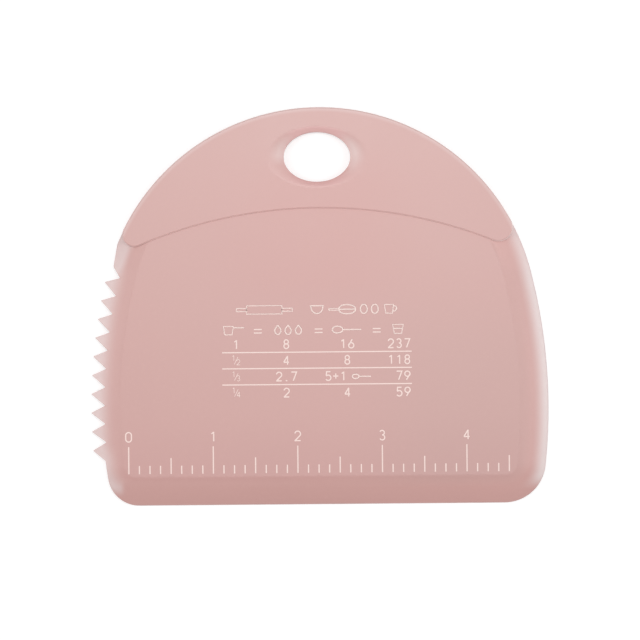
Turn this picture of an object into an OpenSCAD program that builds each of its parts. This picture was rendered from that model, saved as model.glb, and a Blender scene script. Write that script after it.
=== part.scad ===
// Dough scraper, moulded in one piece and printed on its face.
// X runs along the straight scraping edge, Y from that edge to the crown,
// Z out of the printed face. The flat back lies on Z = 0, under the middle of the plate.

/* [Outline] */
// Overall width at the widest level
body_w = 137.3; // [116:0.1:150]
// Height from the straight edge to the crown
body_h = 119.3; // [110:0.1:130]
// How much smaller the crown's radius is than half the width
crown_inset = 3; // [2:0.25:6]
// Radius of the two side arcs
side_r = 165; // [140:1:200]
// Radius of the plain lower corner
corner_r = 12.5; // [11:0.5:16]

/* [Blade] */
// Thickness of the flat part of the blade
blade_t = 3; // [2.4:0.1:4]
// Width of the border that thins towards the edge
taper_w = 8.4; // [6:0.2:9.6]
// Thickness left at the edge itself
edge_t = 1; // [0.8:0.1:1.4]
// Rounding along the top of the edge
edge_round = 0.4; // [0.2:0.05:0.6]
// Slope at which the thinning border starts, in degrees
crease_angle = 5; // [2:0.5:8]

/* [Grip] */
// Height of the grip at the middle, from the crown down to the step
grip_h = 30.3; // [28:0.1:36]
// How far the grip stands above the blade
grip_rise = 0.6; // [0.5:0.1:2]
// Radius of the arched step under the grip
step_r = 140; // [120:1:180]
// Radius of the grip's lower left corner
left_corner_r = 3.6; // [2.4:0.2:5]
// Radius of the grip's lower right corner
right_corner_r = 4.3; // [2.4:0.1:5]
// Rounding of the grip's top edge
grip_round = 0.35; // [0.3:0.05:1.2]

/* [Hanging hole] */
// Width of the oval hole
hole_w = 20; // [16:0.1:22]
// Height of the oval hole
hole_h = 15; // [12:0.1:16]
// Distance from the crown down to the hole's centre
hole_drop = 14.9; // [14:0.1:17]
// How far the hole's centre lies to the left of the middle
hole_left = 0.4; // [0:0.1:2]
// Width of the hollow rim at the hole's two ends
rim_w = 5; // [4:0.2:6]
// Width of the hollow rim above and below the hole
rim_h = 1.6; // [1.2:0.1:3]
// Depth of the hollow rim at the wall of the hole
rim_depth = 0.4; // [0.3:0.1:1.2]

/* [Teeth] */
// Number of teeth on the left side
tooth_count = 10; // [6:1:11]
// Distance from tip to tip along the side
tooth_pitch = 5.66; // [5:0.02:6]
// Depth of the notches between the teeth
tooth_depth = 4.3; // [3.4:0.1:5]
// How far the tips stand out past the side's arc
tooth_out = 0.35; // [0:0.05:0.8]
// Height of a notch's root above the tip under it, as a share of the pitch
root_share = 0.39; // [0.3:0.01:0.6]
// Height of the lowest tip above the straight edge
tooth_start = 16.7; // [14:0.1:20]
// Rounding of the tips
tip_round = 0.15; // [0.1:0.05:0.4]
// Rounding of the notches' roots
root_round = 0.2; // [0.1:0.05:0.4]
// How far the plain side under the teeth is set in
plain_inset = 3.1; // [2:0.05:3.6]
// Radius of the lower corner on the toothed side
tooth_corner_r = 9.5; // [7:0.5:11]
// Distance from the highest tip up to the shoulder's corner
shoulder_rise = 5.1; // [4.6:0.1:6.4]
// How far the shoulder's corner is set in
shoulder_inset = 1.15; // [0.6:0.05:1.8]
// Rounding of the shoulder's corner
shoulder_round = 1.4; // [0.4:0.1:2]
// Lean of the shoulder's short straight side, in degrees
shoulder_lean = 10; // [8:0.5:14]

/* [Print] */
// Thickness of the printed marks
ink_t = 0.06; // [0.04:0.01:0.12]
// Width of the marks' lines
line_w = 0.38; // [0.3:0.02:0.5]
// Clear space between the scale and the thinning border under it
scale_gap = 1.1; // [0.8:0.05:3]
// Clear space between the scale and the thinning border beside it
scale_side = 2.55; // [2.4:0.05:4]
// Length of the whole-inch marks
long_mark = 8.2; // [6:0.1:9]
// Length of the half-inch marks
half_mark = 4.8; // [3.5:0.1:5.5]
// Length of the eighth-inch marks
short_mark = 2.5; // [1.5:0.1:3.2]
// Height of the numerals over the scale
scale_numeral_h = 3.25; // [2.6:0.05:4.5]
// Clear space under the numerals over the scale
numeral_gap = 1.3; // [0.8:0.1:2]
// Distance between the rows of the table
row_pitch = 4.85; // [4.4:0.05:5.4]
// Height of the middle of the table's bottom row above the edge
table_foot = 33.65; // [30:0.05:38]
// Height of the numerals in the table
table_numeral_h = 3; // [2.2:0.05:3.2]
// Width of the lines that draw the table's numerals
table_line_w = 0.38; // [0.24:0.02:0.4]
// Distance from one numeral to the next
numeral_step = 2.45; // [2.2:0.05:2.6]
// How much closer a point and a plus sign stand to their neighbours
sign_pull = 0.22; // [0:0.02:0.4]
// Height of the two small numerals of a fraction
small_numeral_h = 1.8; // [1.4:0.05:2]
// Width of the lines that draw a fraction
thin_line_w = 0.18; // [0.16:0.02:0.3]
// Length of the table's rules
table_w = 57; // [54:0.5:64]
// Width of the rules' lines and of the equals signs' lines
rule_w = 0.36; // [0.24:0.02:0.5]
// How far the table's middle lies to the left of the plate's middle
table_left = 0.9; // [0:0.1:3]
// How far the middle of the first column lies to the left of the table's middle
column_1 = 24.3; // [22:0.1:26]
// How far the middle of the second column lies to the left of the table's middle
column_2 = 9.2; // [7:0.1:12]
// How far the middle of the third column lies to the right of the table's middle
column_3 = 9.1; // [7:0.1:11]
// How far the sum in the third column starts to the left of that column's middle
sum_left = 6.7; // [5:0.1:7.2]
// Clear space between the last column and the end of the rules
column_margin = 0.4; // [0:0.1:2]
// Middles of the equals signs, seen from the table's middle
equals_x = [-17.7, 0.55, 18]; // [-20:0.1:20]
// Height of the equals signs above the middle of the bottom row
equals_y = 18.5; // [17.6:0.1:20]
// Width of the equals signs
equals_w = 2.4; // [1.6:0.1:3]
// Distance between the two lines of an equals sign
equals_gap = 1.05; // [0.7:0.05:1.4]

/* [Hidden] */

moulded = "#d9aca8";
ink = "#f4dcd5";
// Extra length of a cutting solid past the face that it opens
past = 1;
// Least height of the upright wall left under the grip's rounding
wall_min = 0.1;
// Slope at which the hole's rim starts, in degrees
rim_lean = 2;
// Largest distance between an arc of the outline and its chords
facet = 0.01;
// Steps in which the border's slope and its rounded edges turn
slope_steps = 5;
edge_steps = 3;
// Chords around the oval hole
oval_steps = 72;
inch = 25.4;
marks_per_inch = 8;
// Width of a numeral whose lines' middles are one unit apart in height
numeral_w = 0.6;

// Middles of the arcs, with Y counted from the straight edge
crown_r = body_w / 2 - crown_inset;
crown_y = body_h - crown_r;
side_x = side_r - body_w / 2;
side_y = crown_y - sqrt(pow(side_r - crown_r, 2) - pow(side_x, 2));
corner_x = sqrt(pow(side_r - corner_r, 2) - pow(side_y - corner_r, 2)) - side_x;
// Directions in which neighbouring arcs meet, in degrees above the X axis
crown_end = atan2(crown_y - side_y, side_x);
side_end = atan2(corner_r - side_y, corner_x + side_x);

// Circle of the thinning border's section, with X counted from the crease outwards
fall = atan2(blade_t - edge_t, taper_w);
fall_turn = 2 * (fall - crease_angle);
fall_r = norm([taper_w, blade_t - edge_t]) / 2 / sin(fall_turn / 2);
fall_mid = [-fall_r * sin(crease_angle), blade_t - fall_r * cos(crease_angle)];
nose_mid = [
    taper_w - edge_round,
    fall_mid.y + sqrt(pow(fall_r - edge_round, 2) - pow(taper_w - edge_round - fall_mid.x, 2))
];
nose_end = atan2(nose_mid.y - fall_mid.y, nose_mid.x - fall_mid.x);

// Grip: middles of the step's arc and of the lower corners
grip_t = blade_t + grip_rise;
rounding = min(grip_round, grip_rise - wall_min);
step_y = body_h - grip_h - step_r;
left_mid = grip_corner(left_corner_r);
right_mid = grip_corner(right_corner_r);
left_grip_end = atan2(left_mid.y - crown_y, left_mid.x);
right_grip_end = atan2(right_mid.y - crown_y, right_mid.x);
left_step_end = atan2(left_mid.y - step_y, left_mid.x);
right_step_end = atan2(right_mid.y - step_y, right_mid.x);

// Middle of a corner circle that touches the crown from inside and the step's arc from above
function grip_corner(r) =
    let (y = (pow(step_r + r, 2) - pow(crown_r - r, 2) + pow(crown_y, 2) - pow(step_y, 2))
        / 2 / (crown_y - step_y))
    [sqrt(pow(crown_r - r, 2) - pow(y - crown_y, 2)), y];

// Hole: circle of the rim's section
hole_y = body_h - hole_drop;
rim_turn = 2 * (atan2(rim_depth, rim_w) - rim_lean);
rim_r = norm([rim_w, rim_depth]) / 2 / sin(rim_turn / 2);
rim_mid = [hole_w / 2 + rim_w + rim_r * sin(rim_lean), grip_t - rim_r * cos(rim_lean)];

// Teeth: depth of the notches under the side's arc, and directions seen from that arc's middle
root_inset = tooth_depth - tooth_out;
pitch_angle = tooth_pitch / side_r * 180 / PI;
low_tip = asin((tooth_start - side_y) / side_r);
high_tip = low_tip + (tooth_count - 1) * pitch_angle;
shoulder_angle = high_tip + shoulder_rise / side_r * 180 / PI;

// Printed scale and table
scale_x = taper_w + scale_side - body_w / 2;
scale_y = taper_w + scale_gap;
mark_pitch = inch / marks_per_inch;
mark_count = floor((body_w - 2 * taper_w - 2 * scale_side) / mark_pitch);
numeral_y = scale_y + long_mark + numeral_gap;

// Point at a distance in from the left side's arc, in a direction seen from its middle
function left_side(inset, angle) = [
    side_x - (side_r - inset) * cos(angle),
    side_y + (side_r - inset) * sin(angle)
];

// Number of chords that stand for an arc
function chords(turn, r) = max(1, ceil(abs(turn) / acos(1 - facet / r) / 2));

// Points of an outline of arcs, moved in and up to a level of [inset, height]. An arc holds its
// middle, its radius, the directions of its two ends, -1 where the solid lies outside it, and how
// far its edge is stretched out for the teeth, which fades away at the depth of the notches.
function arcs_at(arcs, level) = [
    for (arc = arcs)
        let (
            n = chords(arc[3] - arc[2], arc[1]),
            r = arc[1] - arc[4] * level[0] + arc[5] * max(0, 1 - level[0] / root_inset)
        )
        for (k = [0:n - 1])
            let (a = arc[2] + (arc[3] - arc[2]) * k / n)
            [arc[0].x + r * cos(a), arc[0].y + r * sin(a), level[1]]
];

// Points of an oval around the hole, moved out and up to a level of [distance at the two ends, height]
function oval_at(level) = [
    for (k = [0:oval_steps - 1])
        let (a = 360 * k / oval_steps, r = [hole_w / 2 + level[0], hole_h / 2 + level[0] * rim_h / rim_w])
        [r.x * cos(a) - hole_left, hole_y + r.y * sin(a), level[1]]
];

// Points of the arc that rounds the corner at p between its two neighbours
function rounded(before, p, after, r) =
    let (
        u = (before - p) / norm(before - p),
        v = (after - p) / norm(after - p),
        half = acos(u * v) / 2,
        middle = p + (u + v) / norm(u + v) * r / sin(half),
        from = p + u * r / tan(half) - middle,
        to = p + v * r / tan(half) - middle,
        start = atan2(from.y, from.x),
        turn = atan2(cross(from, to), from * to),
        steps = chords(turn, r)
    )
    [for (k = [0:steps]) middle + r * [cos(start + turn * k / steps), sin(start + turn * k / steps)]];

// Corners of the toothed side from the shoulder down to the straight edge, each with its rounding
shoulder = left_side(shoulder_inset, shoulder_angle);
shoulder_top = shoulder + 2 * taper_w * [sin(shoulder_lean), cos(shoulder_lean)];
foot_x = side_x - sqrt(pow(side_r - plain_inset, 2) - pow(side_y, 2));
toothed_side = [
    [shoulder_top, 0],
    [shoulder, shoulder_round],
    for (i = [tooth_count - 1:-1:0]) each [
        [left_side(root_inset, low_tip + (i + root_share) * pitch_angle), root_round],
        [left_side(-tooth_out, low_tip + i * pitch_angle), tip_round]
    ],
    [left_side(plain_inset, low_tip - (1 - root_share) * pitch_angle), 2 * root_round],
    [[foot_x, 0], tooth_corner_r],
    [[0, 0], 0]
];
toothed_points = [
    for (i = [1:len(toothed_side) - 2])
        each rounded(toothed_side[i - 1][0], toothed_side[i][0], toothed_side[i + 1][0], toothed_side[i][1])
];

// Arcs of the plate's outline, anticlockwise from the straight edge, whose left end comes last
plate_arcs = [
    [[corner_x, corner_r], corner_r, -90, side_end, 1, 0],
    [[-side_x, side_y], side_r, side_end, crown_end, 1, 0],
    [[0, crown_y], crown_r, crown_end, right_grip_end, 1, 0],
    [[0, crown_y], crown_r, right_grip_end, 90, 1, 0],
    [[0, crown_y], crown_r, 90, 180 - left_grip_end, 1, 0],
    [[0, crown_y], crown_r, 180 - left_grip_end, 180 - crown_end, 1, 0],
    [[side_x, side_y], side_r, 180 - crown_end, 180 - side_end, 1, tooth_out],
    [[-corner_x, corner_r], corner_r, 180 - side_end, 270, 1, 0],
    [[-corner_x, corner_r], corner_r, 270, 270, 1, 0]
];

// Arcs of the grip's outline, anticlockwise from the top of the crown
grip_arcs = [
    [[0, crown_y], crown_r, 90, 180 - left_grip_end, 1, 0],
    [[-left_mid.x, left_mid.y], left_corner_r, 180 - left_grip_end, 360 - left_step_end, 1, 0],
    [[0, step_y], step_r, 180 - left_step_end, right_step_end, -1, 0],
    [right_mid, right_corner_r, right_step_end - 180, right_grip_end, 1, 0],
    [[0, crown_y], crown_r, right_grip_end, 90, 1, 0]
];

// Inset and height of each ring of the border, from the back up to the crease
plate_levels = concat(
    [[0, 0]],
    [for (k = [0:edge_steps]) let (a = nose_end * k / edge_steps)
        [taper_w - nose_mid.x - edge_round * cos(a), nose_mid.y + edge_round * sin(a)]],
    [for (k = [1:slope_steps]) let (a = nose_end + (90 - crease_angle - nose_end) * k / slope_steps)
        [taper_w - fall_mid.x - fall_r * cos(a), fall_mid.y + fall_r * sin(a)]]
);

// Distance and height of each ring of the hole, from under the back up through its rounded rim
hole_levels = concat(
    [[0, -past]],
    [for (k = [0:slope_steps]) let (a = 90 + rim_lean + rim_turn * (1 - k / slope_steps))
        [rim_mid.x + rim_r * cos(a) - hole_w / 2, rim_mid.y + rim_r * sin(a)]],
    [[rim_w + past, grip_t + past * tan(rim_lean)]]
);

// The same as for the plate, for the grip
grip_levels = concat(
    [[0, 0]],
    [for (k = [0:edge_steps]) let (a = 90 * k / edge_steps)
        [rounding * (1 - cos(a)), grip_t - rounding * (1 - sin(a))]]
);

// Solid drawn as a skin over rings of points, from its lowest ring to its highest
module skin(rings) {
    n = len(rings[0]);
    top = len(rings) - 1;
    polyhedron(
        points = [for (ring = rings) each ring],
        faces = concat(
            [[for (k = [0:n - 1]) k]],
            [for (i = [0:top - 1]) for (k = [0:n - 1])
                let (a = i * n + k, b = i * n + (k + 1) % n) [a, a + n, b + n, b]],
            [[for (k = [n - 1:-1:0]) top * n + k]]
        )
    );
}

// Everything outside the toothed left side
module toothed_side_cut() {
    last = toothed_points[len(toothed_points) - 1];
    translate([0, 0, -past]) linear_extrude(blade_t + 2 * past)
        polygon(concat([shoulder_top], toothed_points,
            [[last.x, -past], [-body_w, -past], [-body_w, shoulder_top.y]]));
}

module scraper() {
    color(moulded) translate([0, -body_h / 2, 0]) difference() {
        union() {
            skin([for (level = plate_levels) arcs_at(plate_arcs, level)]);
            skin([for (level = grip_levels) arcs_at(grip_arcs, level)]);
        }
        toothed_side_cut();
        skin([for (level = hole_levels) oval_at(level)]);
    }
}

// Line of a given width along a path of points, drawn as one outline, or as two where it is closed
function beside(path, i, w, closed) =
    let (
        n = len(path),
        first = i == 0 && !closed,
        last = i == n - 1 && !closed,
        on = last ? path[i] - path[i - 1] : path[(i + 1) % n] - path[i],
        back = first ? on : path[i] - path[(i + n - 1) % n],
        normal = [-back.y, back.x] / norm(back) + [-on.y, on.x] / norm(on)
    )
    path[i] + w * normal / (normal * normal);

module stroke(path, w, closed = false) {
    left = [for (i = [0:len(path) - 1]) beside(path, i, w, closed)];
    right = [for (i = [0:len(path) - 1]) beside(path, i, -w, closed)];
    if (closed) difference() {
        polygon(right);
        polygon(left);
    }
    else polygon(concat(left, [for (i = [len(right) - 1:-1:0]) right[i]]));
}

// Points of an arc in a numeral; a whole turn ends before its first point
function sweep(x, y, r, from, to) =
    let (n = chords(to - from, r * scale_numeral_h))
    [for (k = [0:to - from == 360 ? n - 1 : n])
        let (a = from + (to - from) * k / n) [x + r * cos(a), y + r * sin(a)]];

// Half turn of a path around the middle of a numeral
function turned(path) = [for (p = path) [numeral_w, 1] - p];

// Open lines and closed loops of the numerals 0 to 9, one unit high, then of a point and a plus sign
numerals = [
    [[], [concat(sweep(0.3, 0.7, 0.3, 0, 180), sweep(0.3, 0.3, 0.3, 180, 360))]],
    [[[[0.36, 0], [0.36, 1]], [[0.36, 0.97], [0.12, 0.78]]], []],
    [[concat(sweep(0.3, 0.7, 0.3, 170, -30), [[0.02, 0.01]]), [[-0.04, 0], [0.6, 0]]], []],
    [[sweep(0.28, 0.76, 0.24, 155, -90), sweep(0.3, 0.26, 0.26, 90, -155)], []],
    [[[[0.43, 0], [0.43, 1]], [[0.43, 0.98], [0.01, 0.3]], [[-0.02, 0.28], [0.6, 0.28]]], []],
    [[[[0.55, 1], [0.1, 1], [0.05, 0.54]], sweep(0.28, 0.31, 0.31, 138, -150)], []],
    [[[[0.04, 0.36], [0.42, 1]]], [sweep(0.3, 0.3, 0.3, 0, 360)]],
    [[[[0, 1], [0.6, 1], [0.22, 0]]], []],
    [[], [sweep(0.3, 0.76, 0.24, 0, 360), sweep(0.3, 0.27, 0.27, 0, 360)]],
    [[turned([[0.04, 0.36], [0.42, 1]])], [turned(sweep(0.3, 0.3, 0.3, 0, 360))]],
    [[[[0.2, 0.02], [0.4, 0.02]]], []],
    [[[[0, 0.5], [0.6, 0.5]], [[0.3, 0.2], [0.3, 0.8]]], []]
];
point = 10;
plus = 11;

module numeral(value, h, w) {
    for (path = numerals[value][0]) stroke([for (p = path) p * (h - w)], w);
    for (path = numerals[value][1]) stroke([for (p = path) p * (h - w)], w, closed = true);
}

// Distance from the first numeral of a row to its numeral i
function step_to(values, i) =
    i == 0 ? 0 : step_to(values, i - 1) + numeral_step - (max(values[i - 1], values[i]) < point ? 0 : sign_pull);

// Width of a row of numerals
function number_w(values, h, w) = step_to(values, len(values) - 1) + numeral_w * (h - w) + w;

// Row of numerals from X = 0 onwards, with its middle at Y = 0
module number(values, h, w) {
    for (i = [0:len(values) - 1])
        translate([step_to(values, i) + w / 2, (w - h) / 2]) numeral(values[i], h, w);
}

module table_number(values, share) {
    translate([-share * number_w(values, table_numeral_h, table_line_w), 0])
        number(values, table_numeral_h, table_line_w);
}

// One over a small numeral, with a slanted line between them
module fraction(value) {
    half = [small_numeral_h * numeral_w, small_numeral_h] / 2;
    translate([-2 * half.x - thin_line_w, 0]) numeral(1, small_numeral_h, thin_line_w);
    translate([thin_line_w, -half.y - 2 * thin_line_w]) numeral(value, small_numeral_h, thin_line_w);
    stroke([[-half.x, -half.y - thin_line_w], [half.x, half.y + thin_line_w]], thin_line_w);
}

// Lays printed shapes on the blade, with Y counted from the straight edge
module printed() {
    color(ink) translate([0, -body_h / 2, blade_t]) linear_extrude(ink_t) children();
}

module scale_marks() {
    printed() {
        for (k = [0:mark_count])
            translate([scale_x + k * mark_pitch - line_w / 2, scale_y])
                square([line_w, k % marks_per_inch == 0 ? long_mark
                    : k % (marks_per_inch / 2) == 0 ? half_mark : short_mark]);
        for (k = [0:floor(mark_count / marks_per_inch)])
            translate([
                scale_x + k * inch - number_w([k], scale_numeral_h, line_w) / 2,
                numeral_y + scale_numeral_h / 2
            ])
                number([k], scale_numeral_h, line_w);
    }
}

// Columns from left to right, each from its bottom row up
module table_marks() {
    printed() translate([-table_left, table_foot]) {
        for (k = [0:2])
            translate([-table_w / 2, (k + 0.5) * row_pitch - rule_w / 2]) square([table_w, rule_w]);
        for (k = [0:2])
            translate([-column_1, k * row_pitch]) fraction(4 - k);
        translate([-column_1, 3 * row_pitch]) table_number([1], 0.5);
        for (k = [0:3])
            translate([-column_2, k * row_pitch]) table_number([[2], [2, point, 7], [4], [8]][k], 0.5);
        translate([column_3 - sum_left, row_pitch]) table_number([5, plus, 1], 0);
        for (k = [0:2])
            translate([column_3, [0, 2, 3][k] * row_pitch]) table_number([[4], [8], [1, 6]][k], 0.5);
        for (k = [0:3])
            translate([table_w / 2 - column_margin, k * row_pitch])
                table_number([[5, 9], [7, 9], [1, 1, 8], [2, 3, 7]][k], 1);
        for (x = equals_x, side = [-1, 1])
            translate([x - equals_w / 2, (side * equals_gap - rule_w) / 2 + equals_y])
                square([equals_w, rule_w]);
    }
}

scraper();
scale_marks();
table_marks();
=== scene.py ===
"""Dough scraper: moulded pink plate with a pale printed ruler and table, seen from straight above."""

import math

import bmesh
import bpy
from mathutils import Matrix, Vector


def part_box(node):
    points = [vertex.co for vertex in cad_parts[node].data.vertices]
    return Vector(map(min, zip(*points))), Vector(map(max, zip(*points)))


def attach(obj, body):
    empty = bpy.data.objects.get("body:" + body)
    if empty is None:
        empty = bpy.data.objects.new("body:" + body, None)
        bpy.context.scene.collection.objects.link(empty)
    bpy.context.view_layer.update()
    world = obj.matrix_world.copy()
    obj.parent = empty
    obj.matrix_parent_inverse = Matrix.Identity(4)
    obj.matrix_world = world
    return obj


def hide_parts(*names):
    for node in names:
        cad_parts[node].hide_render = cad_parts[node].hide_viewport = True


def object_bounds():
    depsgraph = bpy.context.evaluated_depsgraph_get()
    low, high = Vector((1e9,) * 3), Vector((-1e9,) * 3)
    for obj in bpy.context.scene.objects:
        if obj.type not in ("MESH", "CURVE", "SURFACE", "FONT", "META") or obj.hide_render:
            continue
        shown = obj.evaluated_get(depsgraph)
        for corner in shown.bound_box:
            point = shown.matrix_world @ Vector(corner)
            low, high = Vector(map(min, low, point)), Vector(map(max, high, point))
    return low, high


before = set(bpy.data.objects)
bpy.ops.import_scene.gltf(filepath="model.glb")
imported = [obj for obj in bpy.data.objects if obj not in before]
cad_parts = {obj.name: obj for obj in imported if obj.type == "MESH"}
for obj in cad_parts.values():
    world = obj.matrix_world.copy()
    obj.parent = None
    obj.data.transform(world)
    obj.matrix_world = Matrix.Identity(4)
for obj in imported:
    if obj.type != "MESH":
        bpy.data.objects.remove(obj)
cad_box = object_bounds()

# Sizes and places on the scraper are in millimetres, and MM turns them into Blender's metres.
MM = 0.001

# Heights of the blade's face, of the ink on it and of the grip's face, and middle and radius of the crown
BLADE_TOP, INK_TOP = [corner.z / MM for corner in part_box("scale_marks")]
GRIP_TOP = cad_box[1].z / MM
CROWN_Y = -6
CROWN_R = cad_box[1].y / MM - CROWN_Y

# How far the border thins towards the edge
BORDER_DROP = 2

# Middle of the hole, depth of its hollow rim, and half width and half height of an oval just outside the rim
HOLE_X, HOLE_Y = -0.4, 44.7
RIM_DEPTH = 0.4
RIM_HALF_W, RIM_HALF_H = 16.667, 11.765


# Materials


class Value:
    """A shader socket that takes Python arithmetic."""

    def __init__(self, finish, socket):
        self.finish, self.socket = finish, socket

    def maths(self, operation, *values):
        return self.finish.node("ShaderNodeMath", {"operation": operation}, dict(enumerate(values)))

    def __add__(self, other):
        return self.maths("ADD", self, other)

    def __mul__(self, other):
        return self.maths("MULTIPLY", self, other)

    def __sub__(self, other):
        return self.maths("SUBTRACT", self, other)

    def __rsub__(self, other):
        return self.maths("SUBTRACT", other, self)

    def __abs__(self):
        return self.maths("ABSOLUTE", self)

    __radd__ = __add__
    __rmul__ = __mul__

    def root(self):
        return self.maths("SQRT", self)

    def clamped(self, low, high):
        return self.maths("MINIMUM", self.maths("MAXIMUM", self, low), high)

    def eased(self, low, high):
        """0 up to low, 1 from high on, and a soft step between them."""
        limits = {"Value": self, "From Min": low, "From Max": high}
        return self.finish.node("ShaderNodeMapRange", {"interpolation_type": "SMOOTHSTEP"}, limits)


class Finish:
    """The nodes of a material or of the world, with its one shader."""

    def __init__(self, owner, shader="Principled BSDF"):
        owner.use_nodes = True
        self.owner = owner
        self.nodes, self.links = owner.node_tree.nodes, owner.node_tree.links
        self.shader = self.nodes[shader]

    def node(self, kind, settings=None, inputs=None, output=0):
        made = self.nodes.new(kind)
        for key, value in (settings or {}).items():
            setattr(made, key, value)
        for key, value in (inputs or {}).items():
            self.feed(made.inputs[key], value)
        return Value(self, made.outputs[output])

    def feed(self, socket, value):
        if isinstance(value, Value):
            self.links.new(value.socket, socket)
        else:
            socket.default_value = value

    def set(self, **sockets):
        for name, value in sockets.items():
            self.feed(self.shader.inputs[name.replace("_", " ")], value)

    def place(self):
        return self.node("ShaderNodeTexCoord", output="Object")

    def millimetres(self):
        """Place on the piece along x, y and z."""
        apart = self.node("ShaderNodeSeparateXYZ", inputs={0: self.place()}).socket.node
        return [Value(self, axis) * (1 / MM) for axis in apart.outputs]

    def noise(self, scale, detail=2.0, roughness=0.5):
        """Soft noise with about scale cells to the metre."""
        inputs = {"Vector": self.place(), "Scale": scale, "Detail": detail, "Roughness": roughness}
        return self.node("ShaderNodeTexNoise", {"noise_dimensions": "3D"}, inputs, "Fac")

    def blend(self, share, first, second):
        """The first colour where share is 0 and the second where it is 1."""
        settings = {"data_type": "RGBA", "clamp_factor": True}
        return self.node("ShaderNodeMix", settings, {0: share, 6: first, 7: second}, 2)

    def bump(self, height, distance, strength):
        inputs = {"Strength": strength, "Distance": distance * MM, "Height": height}
        return self.node("ShaderNodeBump", inputs=inputs, output="Normal")

    def seen_directly(self):
        """1 for what the camera sees itself, in a reflection or through glass, and otherwise 0."""
        rays = ("Is Camera Ray", "Is Glossy Ray", "Is Transmission Ray")
        camera, glossy, through = [self.node("ShaderNodeLightPath", output=ray) for ray in rays]
        return (camera + glossy + through).clamped(0, 1)


def colour(*levels):
    """An sRGB colour of 0 to 255 as the shader wants it."""
    shares = [level / 255 for level in levels]
    return (*(c / 12.92 if c <= 0.04045 else ((c + 0.055) / 1.055) ** 2.4 for c in shares), 1)


def border_painted_light_and_shade(x, y, z):
    """Shares and colours of the painted sheen on the thin side borders and of wide painted light and shade on
    the blade.
    """
    # From 0 on the blade's face to 1 at the edge, and from 0 on the right to 1 on the left
    thinness = ((BLADE_TOP - z) * (1 / BORDER_DROP)).clamped(0, 1)
    on_left = x.eased(10, -10)

    # On the left the painted sheen starts nearer to the crease, and is full soonest by the shoulder and the
    # foot.
    shoulder, foot = y.eased(8, 13), y.eased(-40, -46)
    start = 0.28 - on_left * (0.18 - 0.1 * shoulder + 0.08 * foot)
    full = 0.88 - on_left * (0.18 + 0.2 * shoulder + 0.15 * foot)
    pale = thinness.eased(start, full)

    # The painted sheen fades out above the straight edge, a little lower in the corner under the teeth, and
    # leaves the back.
    above_edge = (y + 1.5 * (1 - on_left)).eased(-54.5, -49.5)
    left_corner = y.eased(-57.5, -53.5) * x.eased(-58.5, -60.5)
    off_back = (z * 10).clamped(0, 1)
    sides = (above_edge + left_corner).clamped(0, 1) * off_back

    # Wide painted light and shade on the blade: painted shade along the bottom above the crease, greyer
    # painted shade towards the lower right, darker painted shade in the middle, and painted light just past
    # the crease on the upper right.
    bottom_painted_shade = y.eased(-30, -51.5) * (1 - thinness.eased(0, 0.12))
    lower_right_painted_shade = x.eased(0, 40) * y.eased(10, -20) * (1 - thinness.eased(0, 0.3))
    middle = (1 - abs(x).eased(5, 45)) * y.eased(-5, 10) * (1 - y.eased(35, 50))
    upper_right_painted_light = y.eased(6, 18) * (1 - on_left) * thinness.eased(0, 0.06)
    return [
        # Painted sheen: the thin side borders turn paler, as if lit from the sides.
        (pale * (0.78 - 0.25 * on_left) * sides, colour(225, 212, 211)),
        (bottom_painted_shade * 0.09, colour(160, 95, 98)),
        (lower_right_painted_shade * 0.09, colour(150, 146, 140)),
        (middle * 0.12, colour(196, 110, 105)),
        (upper_right_painted_light * 0.15, colour(240, 185, 180)),
    ]


def grip_painted_highlights(x, y, z):
    """Shares and colours of painted highlights along the grip's crown, round its hole and along its step."""
    # Painted highlight along the crown's rounded edge.
    up_crown = y - CROWN_Y
    from_crown = CROWN_R - (x * x + up_crown * up_crown).root()
    crown = (1 - from_crown.eased(0.3, 1.6)) * z.eased(BLADE_TOP + 0.1, BLADE_TOP + 0.3)

    # The hole's rim is narrow above and below the hole, and wide at its two ends, where its painted sheen is
    # paler higher up.
    from_hole, over_hole = x - HOLE_X, y - HOLE_Y
    across, up = from_hole * (1 / RIM_HALF_W), over_hole * (1 / RIM_HALF_H)
    near_hole = (across * across + up * up).root().eased(1.0, 0.9)
    depth = ((GRIP_TOP - z) * (1 / RIM_DEPTH)).clamped(0, 1)
    above = over_hole.eased(-1, 1)
    # Painted light on the narrow rim above and below the hole, and painted sheen at its two ends.
    rim_painted_light = (1 - abs(from_hole).eased(5, 12)) * (depth * (6 + 14 * above)).clamped(0, 1)
    right_end = x.eased(5, 11.5) * ((y - 37.5) * 0.048).clamped(0, 0.4)
    left_end = x.eased(-6, -12.3) * ((y - 42.1) * 0.1).clamped(0, 0.3)
    end_painted_sheen = (depth * 2).clamped(0, 1) * (right_end + left_end)

    # Painted light that lifts the shade of the step down to the blade, and a painted highlight at its right
    # corner.
    under_top = 1 - z.eased(GRIP_TOP - 0.1, GRIP_TOP - 0.01)
    step = z.eased(BLADE_TOP, BLADE_TOP + 0.05) * under_top * (1 - near_hole)
    corner_painted_highlight = x.eased(50, 56)
    return [
        (crown * 0.25, colour(228, 216, 214)),
        (near_hole * rim_painted_light * (0.7 + 0.3 * above), colour(211, 163, 160)),
        (near_hole * end_painted_sheen, colour(235, 222, 219)),
        (step * 0.6, colour(241, 209, 205)),
        (step * corner_painted_highlight * 0.7, colour(248, 230, 227)),
    ]


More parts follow.
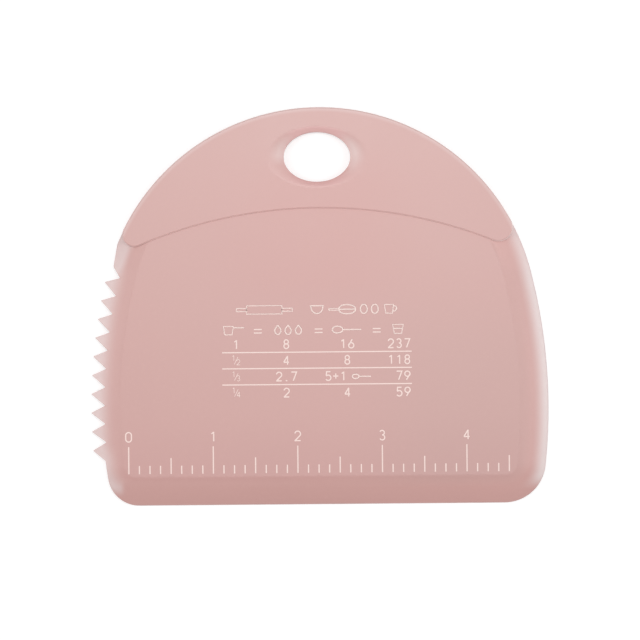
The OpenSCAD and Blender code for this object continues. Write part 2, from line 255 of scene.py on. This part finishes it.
def moulded_plastic():
    """Dusty pink plastic, coloured through, with the fine grain of an etched mould, and with painted sheen,
    highlights and shade over its pink.
    """
    f = Finish(bpy.data.materials.new("moulded_pink_plastic"))
    cloud, speck = f.noise(22, 3, 0.55), f.noise(900, 2, 0.6)
    pink = f.blend(cloud, colour(191, 143, 137), colour(196, 148, 142))
    pink = f.blend((speck - 0.5).clamped(0, 1) * 0.5, pink, colour(203, 159, 153))
    place = f.millimetres()
    for share, tint in border_painted_light_and_shade(*place) + grip_painted_highlights(*place):
        pink = f.blend(share, pink, tint)
    grain, ripple = f.noise(5200, 3, 0.6), f.noise(420, 2, 0.5)
    f.set(
        Base_Color=pink,
        Roughness=0.32 + 0.06 * cloud + 0.04 * speck,
        Normal=f.bump(grain * 0.7 + ripple * 0.3, 0.02, 0.3),
        IOR=1.5,
        Specular_IOR_Level=1.0,
    )
    return f.owner


def printed_ink():
    """Pale cream ink that lies a little unevenly."""
    f = Finish(bpy.data.materials.new("pale_cream_ink"))
    patch = f.noise(1500, 2, 0.6)
    cream = f.blend(patch, colour(238, 212, 205), colour(246, 224, 217))
    f.set(Base_Color=cream, Roughness=0.4 + 0.15 * patch, Normal=f.bump(f.noise(6000), 0.02, 0.3))
    return f.owner


def studio_floor():
    """White table: white to the camera and in reflections, with the soft shadow of what lies on it."""
    f = Finish(bpy.data.materials.new("white_table"))
    glow = f.blend(f.seen_directly(), (0, 0, 0, 1), (0.5, 0.5, 0.5, 1))
    f.set(Base_Color=(0.6, 0.6, 0.6, 1), Roughness=0.9, Specular_IOR_Level=0.0)
    f.set(Emission_Color=glow, Emission_Strength=1.0)
    return f.owner


def studio_air():
    """White air, at full strength where it is seen and at about half of it as light on the scraper."""
    f = Finish(bpy.data.worlds.new("studio_air"), "Background")
    f.set(Color=(1, 1, 1, 1), Strength=0.55 + 0.45 * f.seen_directly())
    return f.owner


# The scraper

# How near vertices are merged, which bends count as none and as gentle, and which faces count as level
MERGE = 0.002
NO_BEND = math.radians(0.4)
GENTLE_BEND = math.radians(12)
LEVEL = 0.99999

# Slack of a height, and how far up the blade's crease comes before the grip's wall ends it
NEAR = 0.01
WALL_Y = 18


def is_soft_crease(edge):
    """Whether a level face turns gently down here, and not where the grip's wall ends the blade's crease."""
    if len(edge.link_faces) != 2:
        return False
    low, high = sorted(vert.co.z / MM for vert in edge.verts)
    one_level, other_level = [face.normal.z > LEVEL for face in edge.link_faces]
    gentle = one_level != other_level and edge.calc_face_angle(0) <= GENTLE_BEND
    beside_wall = high < BLADE_TOP + NEAR and max(vert.co.y / MM for vert in edge.verts) > WALL_Y
    return gentle and low >= BLADE_TOP - NEAR and not beside_wall


def merged_copy(node, name):
    """A CAD node's mesh as a piece of its own, with its loose triangles merged and its creases marked."""
    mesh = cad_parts[node].data.copy()
    mesh.name = name
    mesh.materials.clear()
    bm = bmesh.new()
    bm.from_mesh(mesh)
    bmesh.ops.remove_doubles(bm, verts=bm.verts, dist=MERGE * MM)
    bmesh.ops.dissolve_limit(bm, angle_limit=NO_BEND, verts=bm.verts, edges=bm.edges)
    weight = bm.edges.layers.float.new("bevel_weight_edge")
    for edge in bm.edges:
        edge[weight] = float(is_soft_crease(edge))
    for face in bm.faces:
        face.smooth = abs(face.normal.z) < LEVEL
    bm.to_mesh(mesh)
    bm.free()
    piece = bpy.data.objects.new(name, mesh)
    bpy.context.scene.collection.objects.link(piece)
    return piece


def soften(piece, crease_w, edge_w, sharp_angle):
    """Rounds the creases and the sharp edges as the mould does, and keeps the level faces flat."""
    crease = piece.modifiers.new("soft_crease", "BEVEL")
    crease.width, crease.segments, crease.limit_method = crease_w * MM, 3, "WEIGHT"
    bevel = piece.modifiers.new("rounded_edges", "BEVEL")
    bevel.width, bevel.segments, bevel.limit_method = edge_w * MM, 2, "ANGLE"
    bevel.angle_limit = math.radians(sharp_angle)
    weighted = piece.modifiers.new("flat_faces", "WEIGHTED_NORMAL")
    weighted.keep_sharp, weighted.weight = True, 60


def scraper_body():
    body = merged_copy("scraper", "scraper_body")
    soften(body, crease_w=0.9, edge_w=0.18, sharp_angle=40)
    body.data.materials.append(moulded_plastic())
    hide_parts("scraper")
    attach(body, "root")


# Print

SIGN_LINE = 0.42

# Each sign starts at its left end, at middle height. A loop is closed and rounded, a bend is open and
# rounded, a frame is closed and straight, and a line is open and straight.
SIGNS = {
    "rolling_pin": [
        ("frame", (3.3, -1.25), (13.9, -1.25), (13.9, 1.25), (3.3, 1.25)),
        ("frame", (0.2, -0.45), (3.3, -0.45), (3.3, 0.45), (0.2, 0.45)),
        ("frame", (13.9, -0.45), (17.0, -0.45), (17.0, 0.45), (13.9, 0.45)),
    ],
    "bowl": [
        ("line", (0, 1.1), (4.2, 1.1)),
        ("bend", (0.2, 1.1), (0.8, -0.6), (2.1, -1.2), (3.4, -0.6), (4.0, 1.1)),
    ],
    "whisk": [
        ("frame", (0.2, -0.25), (3.2, -0.25), (3.2, 0.25), (0.2, 0.25)),
        ("loop", (3.2, 0), (6.4, 1.3), (8.2, 0), (6.4, -1.3)),
        ("line", (3.2, 0), (8.2, 0)),
    ],
    "egg": [("loop", (1.1, 1.4), (2.1, -0.2), (1.1, -1.3), (0.1, -0.2))],
    "jug": [
        ("frame", (0.1, 1.3), (0.5, -1.3), (2.5, -1.3), (2.8, 1.3)),
        ("bend", (2.75, 0.9), (3.6, 0.6), (3.5, -0.4), (2.6, -0.7)),
    ],
    "cup": [
        ("frame", (0.1, 1.2), (0.5, -1.3), (2.7, -1.3), (3.1, 1.2)),
        ("line", (3.0, 0.8), (6.4, 0.8)),
    ],
    "drop": [("bend", (1.0, 1.5), (1.9, -0.3), (1.0, -1.3), (0.1, -0.3), (1.0, 1.5))],
    "beaker": [
        ("frame", (0.1, 1.4), (0.6, -1.3), (2.8, -1.3), (3.3, 1.4)),
        ("line", (0.4, 0.2), (3.0, 0.2)),
    ],
    "spoon": [("loop", (0.1, 0), (1.6, 1.0), (3.2, 0), (1.6, -1.0)), ("line", (3.2, 0), (8.8, 0))],
}

# Name, left end, middle height and size: first the heading, then the units over and in the table
SIGN_PLACES = [
    ("rolling_pin", -25.2, -1.1, 1.0),
    ("bowl", -2.9, -1.1, 1.0),
    ("whisk", 2.6, -1.1, 1.0),
    ("egg", 12.2, -1.1, 1.0),
    ("egg", 15.5, -1.1, 1.0),
    ("jug", 19.4, -1.1, 1.0),
    ("cup", -29.05, -7.2, 1.0),
    ("drop", -13.6, -7.2, 1.0),
    ("drop", -10.5, -7.2, 1.0),
    ("drop", -7.4, -7.2, 1.0),
    ("spoon", 3.7, -7.2, 1.0),
    ("beaker", 21.8, -7.2, 1.0),
    ("spoon", 9.6, -21.3, 0.64),
]


def drawn_signs():
    """One curve with all strokes of the signs, as round lines around the middle of their thickness."""
    curve = bpy.data.curves.new("kitchen_signs", "CURVE")
    curve.dimensions = "3D"
    curve.bevel_depth, curve.bevel_resolution, curve.resolution_u = SIGN_LINE * MM / 2, 2, 8
    curve.use_fill_caps = True
    for name, left, middle, size in SIGN_PLACES:
        for kind, *points in SIGNS[name]:
            stroke = curve.splines.new("BEZIER")
            stroke.bezier_points.add(len(points) - 1)
            stroke.use_cyclic_u = kind in ("loop", "frame")
            handle = "AUTO" if kind in ("loop", "bend") else "VECTOR"
            for point, (x, y) in zip(stroke.bezier_points, points):
                point.co = ((left + x * size) * MM, (middle + y * size) * MM, 0)
                point.handle_left_type = point.handle_right_type = handle
    return curve


def printed_signs(ink):
    """The signs as a flat film of ink on the blade."""
    drawn = bpy.data.objects.new("kitchen_signs_drawn", drawn_signs())
    bpy.context.scene.collection.objects.link(drawn)
    mesh = bpy.data.meshes.new_from_object(drawn.evaluated_get(bpy.context.evaluated_depsgraph_get()))
    bpy.data.objects.remove(drawn)
    mesh.name = "kitchen_signs"
    mesh.transform(Matrix.Diagonal((1, 1, (INK_TOP - BLADE_TOP) / SIGN_LINE, 1)))
    mesh.transform(Matrix.Translation((0, 0, (BLADE_TOP + INK_TOP) / 2 * MM)))
    mesh.materials.append(ink)
    for face in mesh.polygons:
        face.use_smooth = True
    signs = bpy.data.objects.new("kitchen_signs", mesh)
    bpy.context.scene.collection.objects.link(signs)
    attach(signs, "root")


def inked(node, ink):
    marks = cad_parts[node].data
    marks.materials.clear()
    marks.materials.append(ink)


# Studio

# Name, place, what it points at, width, length and power, in metres and watts
LAMPS = [
    ("left_strip", (-0.45, 0.02, 0.55), (0, 0.02, 0), 0.2, 0.5, 0.95),
    ("right_strip", (0.45, 0.02, 0.55), (0, 0.02, 0), 0.2, 0.5, 0.95),
    ("overhead_box", (0.02, 0.2, 1.2), (0, 0, 0), 0.2, 0.2, 2.5),
]
FLOOR_HALF_SIZE = 2

# Place of the camera and how far it sees, in metres, its turn, and the lens and sensor that show the blade's
# face at 3.329 pixels to the millimetre, as the photo does
EYE = (0.000105, -0.00428, 1.203)
EYE_REACH = 10
EYE_TURN = math.radians(-0.5)
LENS, SENSOR = 224.7, 36


def soft_box(name, place, aim, width, length, watts):
    lamp = bpy.data.lights.new(name, "AREA")
    lamp.shape, lamp.size, lamp.size_y, lamp.energy = "RECTANGLE", width, length, watts
    box = bpy.data.objects.new(name, lamp)
    box.location = place
    box.rotation_euler = (Vector(aim) - Vector(place)).to_track_quat("-Z", "Y").to_euler()
    bpy.context.scene.collection.objects.link(box)


def table_top():
    mesh = bpy.data.meshes.new("table_top")
    bm = bmesh.new()
    bmesh.ops.create_grid(bm, x_segments=1, y_segments=1, size=FLOOR_HALF_SIZE)
    bm.to_mesh(mesh)
    bm.free()
    mesh.materials.append(studio_floor())
    floor = bpy.data.objects.new("table_top", mesh)
    bpy.context.scene.collection.objects.link(floor)


def camera():
    """Looks straight down from far off, as the photo does."""
    lens = bpy.data.cameras.new("photo_view")
    lens.lens, lens.sensor_width, lens.clip_end = LENS, SENSOR, EYE_REACH
    eye = bpy.data.objects.new("photo_view", lens)
    eye.location, eye.rotation_euler = EYE, (0, 0, EYE_TURN)
    bpy.context.scene.collection.objects.link(eye)
    bpy.context.scene.camera = eye


scraper_body()
cream_ink = printed_ink()
inked("scale_marks", cream_ink)
inked("table_marks", cream_ink)
printed_signs(cream_ink)

table_top()
bpy.context.scene.world = studio_air()
for lamp_row in LAMPS:
    soft_box(*lamp_row)
camera()
bpy.context.scene.view_settings.view_transform = "Standard"
